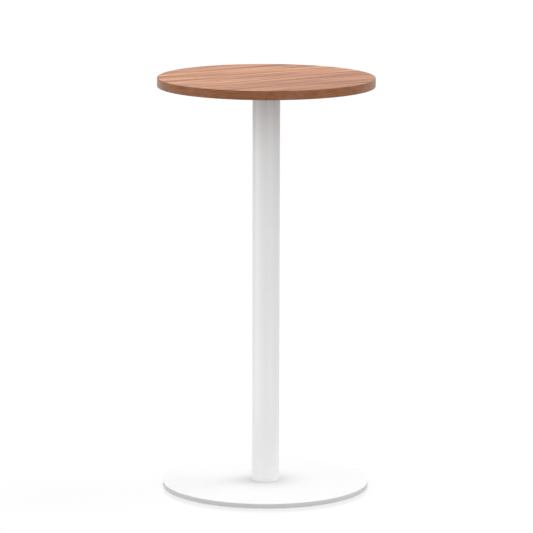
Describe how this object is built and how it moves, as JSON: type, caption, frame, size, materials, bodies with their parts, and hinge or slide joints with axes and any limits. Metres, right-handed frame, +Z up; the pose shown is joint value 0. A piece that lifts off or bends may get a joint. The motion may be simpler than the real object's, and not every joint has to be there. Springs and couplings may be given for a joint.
{
  "type": "round bar table",
  "caption": "Tall round bar table: a thin round walnut-decor top on a slim white column and a flat round white base plate with levelling glides.",
  "frame": {"origin": "on the floor, below the middle of the table", "axes": "+Z up along the column; +X to the right and -Y towards the viewer of the picture"},
  "size_m": [0.6, 0.6, 1.145],
  "materials": {
    "walnut_decor": "satin",
    "walnut_edging": "satin",
    "white_powder_coat": "satin",
    "white_casting": "satin",
    "zinc_steel": "satin",
    "nylon": "matte"
  },
  "bodies": {
    "table": {"top_board": "walnut_decor", "edge_band": "walnut_edging", "top_screws": "zinc_steel", "spider": "white_casting", "column": "white_powder_coat", "tie_rod": "zinc_steel", "rod_top_washer": "zinc_steel", "rod_top_lock_washer": "zinc_steel", "rod_top_nut": "zinc_steel", "rod_bottom_washer": "zinc_steel", "rod_bottom_nut": "zinc_steel", "base_plate": "white_powder_coat", "base_locating_ring": "white_powder_coat"},
    "pad_1": {"glide_pad_1": "nylon"},
    "pad_2": {"glide_pad_2": "nylon"},
    "pad_3": {"glide_pad_3": "nylon"},
    "pad_4": {"glide_pad_4": "nylon"},
    "stud_1": {"glide_stud_1": "zinc_steel"},
    "stud_2": {"glide_stud_2": "zinc_steel"},
    "stud_3": {"glide_stud_3": "zinc_steel"},
    "stud_4": {"glide_stud_4": "zinc_steel"}
  },
  "joints": [
    {"name": "glide_1_travel", "type": "slide", "parent": "table", "child": "pad_1", "axis": [0, 0, -1], "range_m": [0, 0.003]},
    {"name": "glide_2_travel", "type": "slide", "parent": "table", "child": "pad_2", "axis": [0, 0, -1], "range_m": [0, 0.003]},
    {"name": "glide_3_travel", "type": "slide", "parent": "table", "child": "pad_3", "axis": [0, 0, -1], "range_m": [0, 0.003]},
    {"name": "glide_4_travel", "type": "slide", "parent": "table", "child": "pad_4", "axis": [0, 0, -1], "range_m": [0, 0.003]},
    {"name": "glide_1_turn", "type": "hinge", "parent": "pad_1", "child": "stud_1", "pos_m": [0.17678, 0.17678, 0], "axis": [0, 0, -1], "range_deg": [0, 865]},
    {"name": "glide_2_turn", "type": "hinge", "parent": "pad_2", "child": "stud_2", "pos_m": [-0.17678, 0.17678, 0], "axis": [0, 0, -1], "range_deg": [0, 865]},
    {"name": "glide_3_turn", "type": "hinge", "parent": "pad_3", "child": "stud_3", "pos_m": [-0.17678, -0.17678, 0], "axis": [0, 0, -1], "range_deg": [0, 865]},
    {"name": "glide_4_turn", "type": "hinge", "parent": "pad_4", "child": "stud_4", "pos_m": [0.17678, -0.17678, 0], "axis": [0, 0, -1], "range_deg": [0, 865]}
  ],
  "couplings": [
    {"joint": "glide_1_turn", "follows": "glide_1_travel", "rad_per_m": 5026.5},
    {"joint": "glide_2_turn", "follows": "glide_2_travel", "rad_per_m": 5026.5},
    {"joint": "glide_3_turn", "follows": "glide_3_travel", "rad_per_m": 5026.5},
    {"joint": "glide_4_turn", "follows": "glide_4_travel", "rad_per_m": 5026.5}
  ]
}
